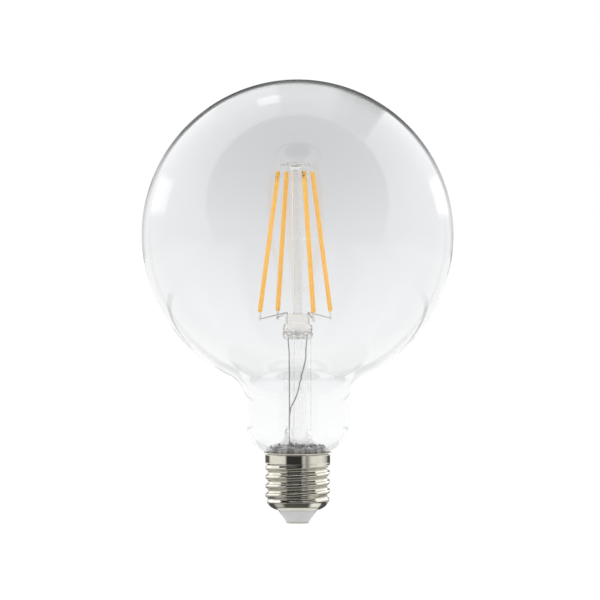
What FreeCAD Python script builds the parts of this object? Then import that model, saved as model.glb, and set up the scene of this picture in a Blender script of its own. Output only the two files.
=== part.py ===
"""Clear globe lamp with four light-emitting-diode filaments and an E27 screw cap.

Millimetres, +Z up along the lamp's axis, -Y to the front. The origin is the middle of the centre contact's
flat lower face, so the globe stands above its cap.
"""
import FreeCAD, Part
import math
import os
from FreeCAD import Rotation, Vector

# Globe and neck
globe_diameter = 125.0
overall_length = 178.0
glass_wall = 0.8
neck_diameter = 41.4
neck_fillet = 12.0          # hollow curve between globe and neck
neck_round = 12.0           # round at the neck's lower end
neck_straight_bottom = 39.8  # height where that round starts
seal_fillet = 1.0
seal_bottom = 24.8          # height of the sealed glass edge

# Stem: flare, tube and press
stem_diameter = 10.9
stem_wall = 0.9
flare_lip = 5.0             # upright edge of the flare, its lower half fused to the neck
flare_inner_round = 0.6
stem_end_round = 2.2        # round of the stem's hollow under the press
bulge_diameter = 12.4
bulge_height = 6.4
bulge_cover = 2.2           # bulge above the press's lower end
bulge_round = 2.4
bulge_slope = 1.6           # rise of the bulge's lower side for its reach
press_width = 9.6
press_depth = 5.6
press_height = 6.0
press_top = 84.2            # height of the press's upper face
press_round = 1.7
exhaust_diameter = 4.3
exhaust_wall = 0.8
exhaust_tip = 26.6          # height of the sealed lower tip
exhaust_hole = 2.0          # hole from the exhaust bore into the globe

# Glass column and its button
column_diameter = 3.9
column_wall = 0.65
column_lean = 0.85          # degrees, to the left
button_rise = 3.5           # button's upper face above the filaments' coats
button_diameter = 7.0
button_height = 3.4
button_edge = 0.7

# Filaments
filament_count = 4
filament_turn = 26.9        # degrees from +X to the first filament
filament_foot_radius = 15.9
filament_head_radius = 7.6
filament_foot_height = 84.8  # lower end of the coat
filament_head_height = 141.4  # upper end of the coat
coat_width = 1.9
coat_depth = 1.7
coat_round = 0.8
strip_width = 1.0
strip_depth = 0.4
strip_end_cover = 1.2       # coat beyond each end of the strip
chip_count = 28
chip_width = 0.5
chip_length = 0.9
chip_depth = 0.15
terminal_width = 0.9
terminal_depth = 0.25
terminal_overlap = 2.6      # length that lies against the strip
foot_reach = 3.4            # terminal below the coat
head_reach = 3.4            # terminal above the coat
weld_setback = 0.9          # from a terminal's free end to its weld
weld_gap = 0.2

# Wires
lead_diameter = 0.45
top_wire_diameter = 0.38
outer_lead_diameter = 0.55
lead_spread = 4.1           # distance of the leads from the axis in the press
lead_bend = 0.7
lead_rise = 0.5             # height of the leads' bend over the press
lead_joint_depth = 3.2      # joint of inner and outer leads below the press's upper face
bend_share = 0.45           # most of a run that one bend may take
top_wire_inset = 2.0        # nearest point of a top wire to the button's middle
outer_lead_bend = 6.0
# Routes of the outer leads down the stem: share of the way down, angle round the axis
left_lead_route = [(0.16, 180), (0.3, 175), (0.48, 170), (0.62, 173), (0.8, 168), (1.0, 168)]
right_lead_route = [
    (0.12, -4), (0.19, -16), (0.27, -52), (0.33, -76), (0.39, -83), (0.46, -105), (0.52, -140),
    (0.58, -161), (0.7, -167), (0.83, -162), (1.0, -162),
]

# E27 cap
thread_pitch = 3.629
thread_arc = 1.025          # radius of the crest and root arcs
thread_diameter = 26.45
thread_crest_height = 22.1  # a crest on the left side of the cap
thread_top = 24.6           # where the thread starts to form
thread_top_fade = 2.4
thread_bottom = 8.2
thread_bottom_fade = 2.2
sheet = 0.3
rim_diameter = 27.5
rim_height = 28.3
rim_curve = 0.9             # flare of the rim above the skirt
skirt_diameter = 26.6
cement_thickness = 0.8      # between the shell and the sealed end of the neck
shoulder_round = 6.0
shell_mouth_diameter = 16.8
shell_bottom = 5.4
insulator_tip_diameter = 9.4
insulator_edge = 0.5
insulator_top = 7.6
contact_diameter = 9.2
contact_thickness = 0.45
contact_edge = 0.2
contact_tube_diameter = 3.0
contact_tube_bore = 1.8
contact_tube_top = 6.4
contact_pin_head = 2.6
contact_pin_recess = 0.15
contact_pin_top = 3.0
fit_gap = 0.05
rim_steps = 5               # stations down the shell's outline
skirt_steps = 3
steps_per_turn = 10
shoulder_steps = 12
round_steps = 32            # stations round the axis

# Driver inside the cap
sleeve_diameter = 22.8
sleeve_wall = 0.7
sleeve_top = 23.0
sleeve_ledge = 0.9          # width of the ledge that carries the board
board_height = 17.5
board_thickness = 1.0
capacitor_diameter = 6.3
capacitor_height = 8.4
inductor_diameter = 5.6
inductor_height = 6.6
fuse_diameter = 2.4
fuse_height = 6.2
driver_wire_diameter = 0.8
neutral_wire_rise = 0.6     # middle of the wire over the sleeve's edge
driver_spread = 5.2         # distance of the driver's large parts from the axis
capacitor_degrees = 90
inductor_degrees = 210
fuse_degrees = 330
can_round = 0.4
can_groove_depth = 1.6
drum_flange = 1.1
drum_waist_depth = 0.5
fuse_round = 0.7
fuse_lead = 0.8
package_lift = 0.15         # body above the board
package_edge = 0.3
package_radius = 5.6
leg_width = 0.6
leg_reach = 0.8
rectifier_size = (4.7, 3.6, 1.6)
rectifier_degrees = 42
driver_chip_size = (4.9, 3.6, 1.6)
driver_chip_degrees = 310
chip_resistor_degrees = (110, 145, 215, 245)
chip_resistor_radius = 7.4
chip_resistor_width = 2.0
chip_resistor_depth = 1.25
chip_resistor_height = 0.55

# Worked out from the sizes above
globe_radius = globe_diameter / 2
globe_centre_height = overall_length - globe_radius
neck_radius = neck_diameter / 2
seal_diameter = skirt_diameter - 2 * (sheet + cement_thickness)
stem_radius = stem_diameter / 2
stem_bore = stem_radius - stem_wall
thread_radius = thread_diameter / 2
press_bottom = press_top - press_height
stem_ceiling = press_bottom - stem_wall
lead_joint_height = press_top - lead_joint_depth
column_top = filament_head_height + button_rise
AXIS_UP = Vector(0, 0, 1)
SAME_POINT = 1e-6           # points nearer than this are one
ORIGIN = Vector(0, 0, 0)


def in_section(radius, height):
    """A point of the half section through the lamp's axis."""
    return Vector(radius, 0, height)


def line(start, end):
    return Part.LineSegment(start, end).toShape()


def arc(centre, radius, start_degrees, end_degrees):
    """Arc in the half section; zero degrees points away from the axis and ninety points up."""
    middle_degrees = (start_degrees + end_degrees) / 2
    points = []
    for degrees in (start_degrees, middle_degrees, end_degrees):
        angle = math.radians(degrees)
        points.append(centre + in_section(radius * math.cos(angle), radius * math.sin(angle)))
    return Part.Arc(*points).toShape()


def chain(edges):
    """Closed list of edges: the given ones in order, with straight lines across their gaps."""
    closed = []
    for index, edge in enumerate(edges):
        following = edges[(index + 1) % len(edges)]
        closed.append(edge)
        start = edge.lastVertex(True).Point
        end = following.firstVertex(True).Point
        if start.distanceToPoint(end) > SAME_POINT:
            closed.append(line(start, end))
    return closed


def turned(edges):
    """Solid turned about the lamp's axis from a closed half section."""
    section = Part.Face(Part.Wire(chain(edges)))
    return section.revolve(ORIGIN, AXIS_UP, 360)


def turned_outline(points):
    """Solid turned from a closed half section with straight sides."""
    corners = [in_section(radius, height) for radius, height in points]
    edges = [line(start, end) for start, end in zip(corners, corners[1:])]
    return turned(edges)


def rod(diameter, bottom, top, x=0.0, y=0.0):
    return Part.makeCylinder(diameter / 2, top - bottom, Vector(x, y, bottom), AXIS_UP)


def block(width, depth, height, middle):
    """Box with the given middle of its lower face."""
    corner = middle - Vector(width / 2, depth / 2, 0)
    return Part.makeBox(width, depth, height, corner)


def around(radius, degrees, height):
    angle = math.radians(degrees)
    return Vector(radius * math.cos(angle), radius * math.sin(angle), height)


def bent_wire(points, diameter, bend_radius):
    """Round wire: straight runs joined by tangent arcs, each as tight as its runs need at most."""
    edges = []
    start = points[0]
    for before, corner, after in zip(points, points[1:], points[2:]):
        incoming = (corner - before).normalize()
        outgoing = (after - corner).normalize()
        half_turn = incoming.getAngle(outgoing) / 2
        shorter_run = min((corner - before).Length, (after - corner).Length)
        setback = min(bend_radius * math.tan(half_turn), bend_share * shorter_run)
        radius = setback / math.tan(half_turn)
        inward = (outgoing - incoming).normalize()
        bend_start = corner - incoming * setback
        bend_end = corner + outgoing * setback
        bend_middle = corner + inward * (radius / math.cos(half_turn) - radius)
        edges.append(line(start, bend_start))
        edges.append(Part.Arc(bend_start, bend_middle, bend_end).toShape())
        start = bend_end
    edges.append(line(start, points[-1]))
    path = Part.Wire(edges)
    first_run = points[1] - points[0]
    ring = Part.Wire(Part.makeCircle(diameter / 2, points[0], first_run))
    return path.makePipeShell([ring], True, True)


def glass_arcs(inset):
    """Arcs of the globe's half section from crown to seal, moved into the glass by the inset.

    Each is a centre, a radius, and its first and last angle.
    """
    globe_centre = in_section(0, globe_centre_height)
    fillet_out = neck_radius + neck_fillet
    fillet_down = math.sqrt((globe_radius + neck_fillet) ** 2 - fillet_out ** 2)
    fillet_centre = in_section(fillet_out, globe_centre_height - fillet_down)
    globe_angle = -math.degrees(math.atan2(fillet_down, fillet_out))
    round_centre = in_section(neck_radius - neck_round, neck_straight_bottom)
    seal_centre = in_section(seal_diameter / 2 + seal_fillet, seal_fillet_height())
    towards_seal = seal_centre - round_centre
    round_angle = math.degrees(math.atan2(towards_seal.z, towards_seal.x))
    return [
        (globe_centre, globe_radius - inset, 90, globe_angle),
        (fillet_centre, neck_fillet + inset, globe_angle + 180, 180),
        (round_centre, neck_round - inset, 0, round_angle),
        (seal_centre, seal_fillet + inset, round_angle + 180, 180),
    ]


def seal_fillet_height():
    """Height of the middle of the small fillet between the neck's round and the seal."""
    across = seal_diameter / 2 + seal_fillet - (neck_radius - neck_round)
    reach = neck_round + seal_fillet
    return neck_straight_bottom - math.sqrt(reach ** 2 - across ** 2)


def glass_globe():
    seal_radius = seal_diameter / 2
    outside = [arc(*values) for values in glass_arcs(0)]
    inside = []
    for centre, radius, first, last in reversed(glass_arcs(glass_wall)):
        inside.append(arc(centre, radius, last, first))
    seal_edge = line(in_section(seal_radius, seal_bottom), in_section(seal_radius - glass_wall, seal_bottom))
    return turned(outside + [seal_edge] + inside)


def stem_flare(wires):
    """Flared tube with its bulge and press, closed round the wires that pass through the press."""
    lip_radius = seal_diameter / 2 - glass_wall
    lip_top = seal_bottom + flare_lip
    flare_round = flare_inner_round + stem_wall
    flare_curve = lip_radius - flare_round - stem_radius
    round_centre = in_section(lip_radius - flare_round, lip_top)
    curve_centre = in_section(stem_radius + flare_curve, lip_top + flare_round + flare_curve)
    bulge_radius = bulge_diameter / 2
    bulge_top = press_bottom + bulge_cover
    bulge_bottom = bulge_top - bulge_height
    bulge_ease = bulge_slope * (bulge_radius - stem_radius)
    bulge_centre = in_section(bulge_radius - bulge_round, bulge_top - bulge_round)
    end_centre = in_section(stem_bore - stem_end_round, stem_ceiling - stem_end_round)
    outside = turned([
        line(in_section(0, seal_bottom), in_section(lip_radius, seal_bottom)),
        arc(round_centre, flare_round, 0, 90),
        arc(curve_centre, flare_curve, 270, 180),
        line(in_section(stem_radius, bulge_bottom), in_section(bulge_radius, bulge_bottom + bulge_ease)),
        arc(bulge_centre, bulge_round, 0, 90),
        line(in_section(0, bulge_top), in_section(0, seal_bottom)),
    ])
    hollow = turned([
        line(in_section(0, seal_bottom), in_section(lip_radius - stem_wall, seal_bottom)),
        arc(round_centre, flare_inner_round, 0, 90),
        arc(curve_centre, flare_curve + stem_wall, 270, 180),
        arc(end_centre, stem_end_round, 0, 90),
        line(in_section(0, stem_ceiling), in_section(0, seal_bottom)),
    ])
    press = block(press_width, press_depth, press_height, in_section(0, press_bottom))
    rounded_edges = [edge for edge in press.Edges if edge.BoundBox.ZMax > press_bottom + SAME_POINT]
    press = press.makeFillet(press_round, rounded_edges)
    bore_diameter = exhaust_diameter - 2 * exhaust_wall
    bore_top = press_bottom + exhaust_hole
    exhaust_bore = rod(bore_diameter, stem_ceiling, bore_top)
    hole_start = in_section(0, bore_top - exhaust_hole / 2)
    side_hole = Part.makeCylinder(exhaust_hole / 2, bulge_radius + exhaust_hole, hole_start, Vector(0, 1, 0))
    stem = outside.fuse(press).cut(hollow).cut(exhaust_bore).cut(side_hole)
    for wire in wires:
        stem = stem.cut(wire)
    return stem.removeSplitter()


def exhaust_tube():
    radius = exhaust_diameter / 2
    bore = radius - exhaust_wall
    tip_centre = in_section(0, exhaust_tip + radius)
    return turned([
        arc(tip_centre, radius, -90, 0),
        line(in_section(radius, stem_ceiling), in_section(bore, stem_ceiling)),
        arc(tip_centre, bore, 0, -90),
    ])


def button_middle():
    """Middle of the button's upper face, on the leaning column's axis."""
    lean = math.radians(column_lean)
    return Vector(-(column_top - press_top) * math.tan(lean), 0, column_top)


def support_column(wires):
    """Leaning glass tube, closed by its trumpet-shaped button round the top wires."""
    radius = column_diameter / 2
    bore = radius - column_wall
    length = (column_top - press_top) / math.cos(math.radians(column_lean))
    foot = -column_diameter * math.sin(math.radians(column_lean))
    edge_radius = button_edge / 2
    spread = button_diameter / 2 - edge_radius - radius
    rise = button_height - button_edge
    trumpet = (spread ** 2 + rise ** 2) / (2 * spread)
    trumpet_angle = 180 - math.degrees(math.asin(rise / trumpet))
    column = turned([
        line(in_section(0, foot), in_section(radius, foot)),
        arc(in_section(radius + trumpet, length - button_height), trumpet, 180, trumpet_angle),
        arc(in_section(button_diameter / 2 - edge_radius, length - edge_radius), edge_radius, -90, 90),
        line(in_section(0, length), in_section(0, foot)),
    ])
    hollow = turned([
        line(in_section(0, foot), in_section(bore, foot)),
        arc(in_section(0, length - button_height), bore, 0, 90),
        line(in_section(0, length - button_height), in_section(0, foot)),
    ])
    column = column.cut(hollow)
    column.rotate(ORIGIN, Vector(0, 1, 0), -column_lean)
    column.translate(in_section(0, press_top))
    below_press_top = block(button_diameter, button_diameter, column_diameter, in_section(0, press_top))
    below_press_top.translate(Vector(0, 0, -column_diameter))
    column = column.cut(below_press_top)
    for wire in wires:
        column = column.cut(wire)
    return column


class Filament:
    """One filament: its place in the cage, and its pieces built upright and then set there."""

    def __init__(self, index):
        self.angle = filament_turn + 360.0 / filament_count * index
        cage_middle = Vector(button_middle().x, 0, 0)
        foot = cage_middle + around(filament_foot_radius, self.angle, filament_foot_height)
        head = cage_middle + around(filament_head_radius, self.angle, filament_head_height)
        self.length = (head - foot).Length
        upwards = (head - foot).normalize()
        sideways = around(1, self.angle + 90, 0)
        outwards = sideways.cross(upwards)
        self.place = FreeCAD.Placement(foot, Rotation(sideways * -1, outwards, upwards, "ZYX"))
        self.terminal_face = -strip_depth / 2 - terminal_depth

    def placed(self, shape):
        shape.Placement = self.place
        return shape

    def strip(self):
        length = self.length - 2 * strip_end_cover
        return block(strip_width, strip_depth, length, in_section(0, strip_end_cover))

    def chips(self):
        """Row of chips on the strip's outer face."""
        row_length = self.length - 2 * strip_end_cover - chip_length
        spacing = row_length / chip_count
        solids = []
        for number in range(chip_count):
            height = strip_end_cover + spacing * (number + 0.5)
            middle = Vector(0, strip_depth / 2 + chip_depth / 2, height)
            solids.append(block(chip_width, chip_depth, chip_length, middle))
        return Part.makeCompound(solids)

    def terminal(self, bottom, top):
        middle = Vector(0, self.terminal_face + terminal_depth / 2, bottom)
        return block(terminal_width, terminal_depth, top - bottom, middle)

    def foot(self):
        return self.terminal(-foot_reach, strip_end_cover + terminal_overlap)

    def head(self):
        return self.terminal(self.length - strip_end_cover - terminal_overlap, self.length + head_reach)

    def coat(self):
        body = block(coat_width, coat_depth, self.length, ORIGIN)
        body = body.makeFillet(coat_round, body.Edges)
        core = [self.strip(), self.foot(), self.head()] + self.chips().Solids
        return body.cut(core)

    def weld(self, height):
        """Point just inside a terminal, where a wire's end is welded to it."""
        return self.place.multVec(Vector(0, self.terminal_face - weld_gap, height))

    def foot_weld(self):
        return self.weld(-foot_reach + weld_setback)

    def head_weld(self):
        return self.weld(self.length + head_reach - weld_setback)

    def at_back(self):
        return math.sin(math.radians(self.angle)) > 0

    def at_right(self):
        return math.cos(math.radians(self.angle)) > 0


def inner_lead(filament):
    """Stiff wire from its joint in the press, bent over the press to a filament's foot."""
    across = lead_spread if filament.at_right() else -lead_spread
    aside = lead_diameter / 2 + weld_gap / 2
    along = aside if filament.at_back() else -aside
    points = [
        Vector(across, along, lead_joint_height),
        Vector(across, along, press_top + lead_rise),
        filament.foot_weld(),
    ]
    return bent_wire(points, lead_diameter, lead_bend)


def top_wire(filaments):
    """Wire through the button that joins the heads of two filaments."""
    ends = [filament.head_weld() for filament in filaments]
    inner = []
    for filament, end in zip(filaments, ends):
        middle = button_middle()
        inner.append(Vector(middle.x, 0, 0) + around(top_wire_inset, filament.angle, end.z))
    return bent_wire([ends[0], inner[0], inner[1], ends[1]], top_wire_diameter, lead_bend)


def outer_lead(side, route):
    """Lead from the press down the stem to the driver board, in the space round the exhaust tube.

    The route gives an angle round the axis for each share of the way from the stem's ceiling to the board.
    """
    lane_radius = (exhaust_diameter / 2 + stem_bore) / 2
    board_top = board_height + board_thickness
    points = [Vector(side * lead_spread, 0, lead_joint_height)]
    points.append(Vector(side * lead_spread, 0, stem_ceiling - outer_lead_diameter))
    for share, degrees in route:
        height = stem_ceiling - share * (stem_ceiling - board_top)
        points.append(around(lane_radius, degrees, height))
    return bent_wire(points, outer_lead_diameter, outer_lead_bend)


def thread_inset(height, degrees, inwards):
    """Depth of the rolled thread below its crests, on the surface that lies inwards in the sheet.

    Crest and root are arcs that meet tangentially, so a surface inside the sheet has smaller crest arcs
    and larger root arcs about the same centres.
    """
    crest = thread_crest_height + thread_pitch * (degrees - 180) / 360
    along = (height - crest + thread_pitch / 2) % thread_pitch - thread_pitch / 2
    from_crest = abs(along)
    from_root = thread_pitch / 2 - from_crest
    flank = math.asin(thread_pitch / (4 * thread_arc))
    centre_step = 2 * thread_arc * math.cos(flank)
    crest_arc = thread_arc - inwards
    root_arc = thread_arc + inwards
    if from_crest < crest_arc * math.sin(flank):
        return crest_arc - math.sqrt(crest_arc ** 2 - from_crest ** 2)
    return crest_arc - centre_step + math.sqrt(root_arc ** 2 - from_root ** 2)


def eased(share):
    share = max(0.0, min(1.0, share))
    return share * share * (3 - 2 * share)


def thread_weight(height):
    """Share of the full thread depth at a height; it fades in below the skirt and out above the mouth."""
    from_top = eased((thread_top - height) / thread_top_fade)
    from_bottom = eased((height - thread_bottom) / thread_bottom_fade)
    return from_top * from_bottom


def shoulder_centre():
    """Middle of the round between the thread and the shell's mouth, in the half section."""
    out = thread_radius - shoulder_round
    mouth_out = shell_mouth_diameter / 2 - out
    return in_section(out, shell_bottom + math.sqrt(shoulder_round ** 2 - mouth_out ** 2))


def shell_stations():
    """Points down the shell's outline, each with the outward direction there: rim, skirt, thread, shoulder."""
    stations = []
    skirt_radius = skirt_diameter / 2
    flare = math.degrees(math.acos(1 - (rim_diameter / 2 - skirt_radius) / rim_curve))
    rim_centre = in_section(skirt_radius + rim_curve, rim_height - rim_curve * math.sin(math.radians(flare)))
    for step in range(rim_steps):
        towards = around_section(180 - flare + flare * step / rim_steps)
        stations.append((rim_centre + towards * rim_curve, towards * -1))
    for step in range(skirt_steps):
        height = rim_centre.z - (rim_centre.z - thread_top) * step / skirt_steps
        stations.append((in_section(skirt_radius, height), in_section(1, 0)))
    centre = shoulder_centre()
    turns = (thread_top - centre.z) / thread_pitch
    thread_steps = math.ceil(turns * steps_per_turn)
    for step in range(thread_steps):
        height = thread_top - (thread_top - centre.z) * step / thread_steps
        narrowing = eased((thread_top - height) / thread_top_fade)
        radius = skirt_radius + (thread_radius - skirt_radius) * narrowing
        stations.append((in_section(radius, height), in_section(1, 0)))
    mouth_angle = -math.degrees(math.acos((shell_mouth_diameter / 2 - centre.x) / shoulder_round))
    for step in range(shoulder_steps + 1):
        towards = around_section(mouth_angle * step / shoulder_steps)
        stations.append((centre + towards * shoulder_round, towards))
    return stations


def around_section(degrees):
    angle = math.radians(degrees)
    return in_section(math.cos(angle), math.sin(angle))


def shell_face(inwards):
    """The shell's surface all round, inwards from its outer skin by the given depth, with its seam at the back."""
    rows = []
    for point, outward in shell_stations():
        below_skin = point - outward * inwards
        row = []
        for step in range(round_steps + 1):
            degrees = 90 + 360.0 * (step % round_steps) / round_steps
            inset = thread_weight(below_skin.z) * thread_inset(below_skin.z, degrees, inwards)
            row.append(around(below_skin.x - inset, degrees, below_skin.z))
        rows.append(row)
    surface = Part.BSplineSurface()
    surface.interpolate(rows)
    return surface.toShape()


def end_edge(face, height):
    """The edge of a shell face that runs round the axis nearest the given height."""
    level_edges = [edge for edge in face.Edges if edge.BoundBox.ZLength < sheet]
    return min(level_edges, key=lambda edge: abs(edge.CenterOfMass.z - height))


def cap_shell():
    """Thin sheet rolled into rim, skirt, thread and shoulder: outer and inner skins joined at both ends."""
    skin = shell_face(0)
    lining = shell_face(sheet)
    faces = [skin, lining]
    for height in (rim_height, shell_bottom):
        faces.append(Part.makeRuledSurface(end_edge(skin, height), end_edge(lining, height)))
    shell = Part.makeShell(faces)
    shell.sewShape()
    solid = Part.makeSolid(shell)
    if solid.Volume < 0:
        solid.reverse()
    return solid


def cap_insulator():
    """Cone below the shell's mouth and the flange that lies on the shoulder's inside."""
    centre = shoulder_centre()
    seat_radius = shoulder_round - sheet - fit_gap
    mouth_radius = shell_mouth_diameter / 2 - sheet
    seat_start = -math.degrees(math.acos((mouth_radius - centre.x) / seat_radius))
    seat_end = math.degrees(math.asin((insulator_top - centre.z) / seat_radius))
    bore = contact_tube_diameter / 2
    tip_radius = insulator_tip_diameter / 2
    edge_centre = in_section(tip_radius - insulator_edge, contact_thickness + insulator_edge)
    cone_top = in_section(mouth_radius, shell_bottom)
    return turned([
        line(in_section(bore, contact_thickness), in_section(edge_centre.x, contact_thickness)),
        arc(edge_centre, insulator_edge, -90, -30),
        line(cone_top, in_section(mouth_radius, shell_bottom + sheet)),
        arc(centre, seat_radius, seat_start, seat_end),
        line(in_section(bore, insulator_top), in_section(bore, contact_thickness)),
    ])


def centre_contact():
    """Flat disc with a tube up through the insulator and a shallow seat for the pin's head."""
    edge_centre = in_section(contact_diameter / 2 - contact_edge, contact_edge)
    tube = contact_tube_diameter / 2
    bore = contact_tube_bore / 2
    head = contact_pin_head / 2
    return turned([
        line(in_section(head, 0), in_section(edge_centre.x, 0)),
        arc(edge_centre, contact_edge, -90, 0),
        line(in_section(contact_diameter / 2, contact_thickness), in_section(tube, contact_thickness)),
        line(in_section(tube, contact_tube_top), in_section(bore, contact_tube_top)),
        line(in_section(bore, contact_thickness), in_section(head, contact_thickness)),
    ])


def contact_pin():
    head = rod(contact_pin_head, contact_pin_recess, contact_thickness)
    shank = rod(contact_tube_bore, contact_thickness, contact_pin_top)
    return head.fuse(shank)


def basing_cement():
    inner = seal_diameter / 2
    outer = skirt_diameter / 2 - sheet - fit_gap
    top = seal_fillet_height()
    return turned_outline([(inner, seal_bottom), (outer, seal_bottom), (outer, top), (inner, top)])


def driver_sleeve():
    """Insulating sleeve on the insulator's flange, with the ledge that carries the board."""
    outer = sleeve_diameter / 2
    inner = outer - sleeve_wall
    ledge = inner - sleeve_ledge
    return turned_outline([
        (ledge, insulator_top),
        (outer, insulator_top),
        (outer, sleeve_top),
        (inner, sleeve_top),
        (inner, board_height),
        (ledge, board_height),
    ])


def driver_board():
    diameter = sleeve_diameter - 2 * (sleeve_wall + fit_gap)
    return rod(diameter, board_height, board_height + board_thickness)


def under_board(degrees):
    """Middle of a large part's seat on the board's lower face."""
    return around(driver_spread, degrees, board_height)


def storage_capacitor():
    """Upright can under the board, with the rolled groove near its seal."""
    seat = under_board(capacitor_degrees)
    can = rod(capacitor_diameter, seat.z - capacitor_height, seat.z, seat.x, seat.y)
    can = can.makeFillet(can_round, [edge for edge in can.Edges if edge.CenterOfMass.z < seat.z - can_round])
    groove_height = seat.z - can_groove_depth
    groove = Part.makeTorus(capacitor_diameter / 2 + can_round / 2, can_round, Vector(seat.x, seat.y, groove_height))
    return can.cut(groove)


def inductor():
    """Drum with a wound waist between its two flanges."""
    seat = under_board(inductor_degrees)
    drum = rod(inductor_diameter, seat.z - inductor_height, seat.z, seat.x, seat.y)
    waist_bottom = seat.z - inductor_height + drum_flange
    waist_top = seat.z - drum_flange
    ring = rod(inductor_diameter, waist_bottom, waist_top, seat.x, seat.y)
    winding = rod(inductor_diameter - 2 * drum_waist_depth, waist_bottom, waist_top, seat.x, seat.y)
    return drum.cut(ring.cut(winding))


def fuse_resistor():
    """Upright resistor body with rounded ends, its lead let into the board's lower face."""
    seat = under_board(fuse_degrees)
    body_top = seat.z - fuse_lead
    body = rod(fuse_diameter, body_top - fuse_height, body_top, seat.x, seat.y)
    body = body.makeFillet(fuse_round, [body.Edges[0], body.Edges[2]])
    lead = rod(lead_diameter, body_top - fuse_round, seat.z, seat.x, seat.y)
    return body.fuse(lead)


def flat_package(width, depth, height, degrees, radius):
    """Moulded package on the board's upper face with a row of three legs along each side."""
    board_top = board_height + board_thickness
    seat = around(radius, degrees, board_top)
    body = block(width, depth, height - package_lift, seat + Vector(0, 0, package_lift))
    body = body.makeChamfer(package_edge, [edge for edge in body.Edges if edge.BoundBox.ZMin > seat.z + height / 2])
    solids = [body]
    for side in (-1, 1):
        for number in (-1, 0, 1):
            foot_middle = seat + Vector(number * width / 3, side * depth / 2, 0)
            solids.append(block(leg_width, leg_reach * 2, package_lift * 2, foot_middle))
    return solids[0].fuse(solids[1:]).removeSplitter()


def chip_resistors():
    """Small chip resistors in an arc on the board's upper face."""
    board_top = board_height + board_thickness
    solids = []
    for degrees in chip_resistor_degrees:
        seat = around(chip_resistor_radius, degrees, board_top)
        solids.append(block(chip_resistor_width, chip_resistor_depth, chip_resistor_height, seat))
    return Part.makeCompound(solids)


def live_wire():
    return rod(driver_wire_diameter, contact_pin_top, board_height)


def neutral_wire():
    """Wire from the board over the sleeve to the shell, where a crest of the thread comes nearest."""
    height = sleeve_top + neutral_wire_rise
    degrees = 180 + 360 * (height - thread_crest_height) / thread_pitch
    inside = sleeve_diameter / 2 - sleeve_wall - driver_wire_diameter
    shell_inside = thread_radius - sheet - weld_gap
    points = [
        around(inside, degrees, board_height + board_thickness),
        around(inside, degrees, height),
        around(shell_inside, degrees, height),
    ]
    return bent_wire(points, driver_wire_diameter, driver_wire_diameter)


def all_pieces():
    """Every piece of the lamp by name."""
    filaments = [Filament(index) for index in range(filament_count)]
    front = [filament for filament in filaments if not filament.at_back()]
    back = [filament for filament in filaments if filament.at_back()]
    inner_leads = [inner_lead(filament) for filament in filaments]
    outer_leads = [outer_lead(-1, left_lead_route), outer_lead(1, right_lead_route)]
    top_wires = [top_wire(front), top_wire(back)]
    pieces = {
        "glass_globe": glass_globe(),
        "stem_flare": stem_flare(inner_leads + outer_leads),
        "exhaust_tube": exhaust_tube(),
        "support_column": support_column(top_wires),
        "top_wire_front": top_wires[0],
        "top_wire_back": top_wires[1],
        "outer_lead_left": outer_leads[0],
        "outer_lead_right": outer_leads[1],
        "cap_shell": cap_shell(),
        "cap_insulator": cap_insulator(),
        "centre_contact": centre_contact(),
        "contact_pin": contact_pin(),
        "basing_cement": basing_cement(),
        "driver_sleeve": driver_sleeve(),
        "driver_board": driver_board(),
        "storage_capacitor": storage_capacitor(),
        "inductor": inductor(),
        "fuse_resistor": fuse_resistor(),
        "bridge_rectifier": flat_package(*rectifier_size, rectifier_degrees, package_radius),
        "driver_chip": flat_package(*driver_chip_size, driver_chip_degrees, package_radius),
        "chip_resistors": chip_resistors(),
        "live_wire": live_wire(),
        "neutral_wire": neutral_wire(),
    }
    for number, (filament, lead) in enumerate(zip(filaments, inner_leads), start=1):
        pieces[f"inner_lead_{number}"] = lead
        pieces[f"filament_{number}_coat"] = filament.placed(filament.coat())
        pieces[f"filament_{number}_strip"] = filament.placed(filament.strip())
        pieces[f"filament_{number}_chips"] = filament.placed(filament.chips())
        pieces[f"filament_{number}_foot"] = filament.placed(filament.foot())
        pieces[f"filament_{number}_head"] = filament.placed(filament.head())
    return pieces


os.makedirs("parts", exist_ok=True)
for name, shape in all_pieces().items():
    shape.exportStep(f"parts/{name}.step")
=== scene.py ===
"""Looks of the clear globe lamp: glass, filaments, stem, wires and nickel cap, in a plain white studio.

Metres, in the lamp's own frame: +Z up along its axis, -Y to the front, origin under the centre contact.
"""
import bpy
import bmesh
import math
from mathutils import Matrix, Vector


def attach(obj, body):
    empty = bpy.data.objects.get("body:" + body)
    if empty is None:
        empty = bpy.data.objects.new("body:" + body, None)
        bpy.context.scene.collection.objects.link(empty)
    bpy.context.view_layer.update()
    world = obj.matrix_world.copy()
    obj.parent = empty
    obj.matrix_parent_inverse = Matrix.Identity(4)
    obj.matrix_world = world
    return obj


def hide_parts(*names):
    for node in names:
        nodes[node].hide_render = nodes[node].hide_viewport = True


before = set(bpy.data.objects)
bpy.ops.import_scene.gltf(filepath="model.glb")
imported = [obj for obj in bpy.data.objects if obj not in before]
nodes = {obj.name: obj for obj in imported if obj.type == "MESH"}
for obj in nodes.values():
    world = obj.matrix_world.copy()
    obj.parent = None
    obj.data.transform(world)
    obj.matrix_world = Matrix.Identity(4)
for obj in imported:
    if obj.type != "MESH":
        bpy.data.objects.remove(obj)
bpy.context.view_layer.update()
MM = 0.001

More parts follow.
